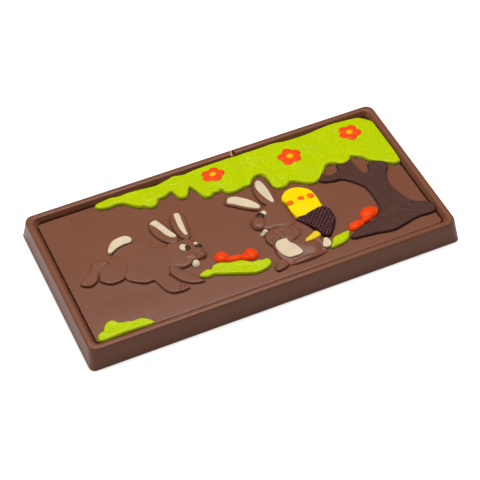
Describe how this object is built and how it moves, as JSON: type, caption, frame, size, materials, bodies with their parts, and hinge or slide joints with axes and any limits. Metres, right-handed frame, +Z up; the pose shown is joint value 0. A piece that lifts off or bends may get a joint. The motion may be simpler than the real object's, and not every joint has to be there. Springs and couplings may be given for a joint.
{
  "type": "easter chocolate bar",
  "caption": "Moulded milk chocolate bar with a raised rim round a sunken panel that carries an Easter scene in low relief in coloured chocolate.",
  "frame": {"origin": "centre of the flat underside of the bar", "axes": "+X along the bar's length, to the tree end; +Y across the bar to the back edge, where the leaves are; +Z up out of the relief side"},
  "size_m": [0.156, 0.0776, 0.01],
  "materials": {
    "milk_chocolate": "moulded milk chocolate with a soft satin gloss and a faint bloom; the relief is tinted leaf green, orange, yellow, cream and dark chocolate"
  },
  "bodies": {
    "root": {"chocolate_bar": "milk_chocolate"}
  },
  "joints": []
}
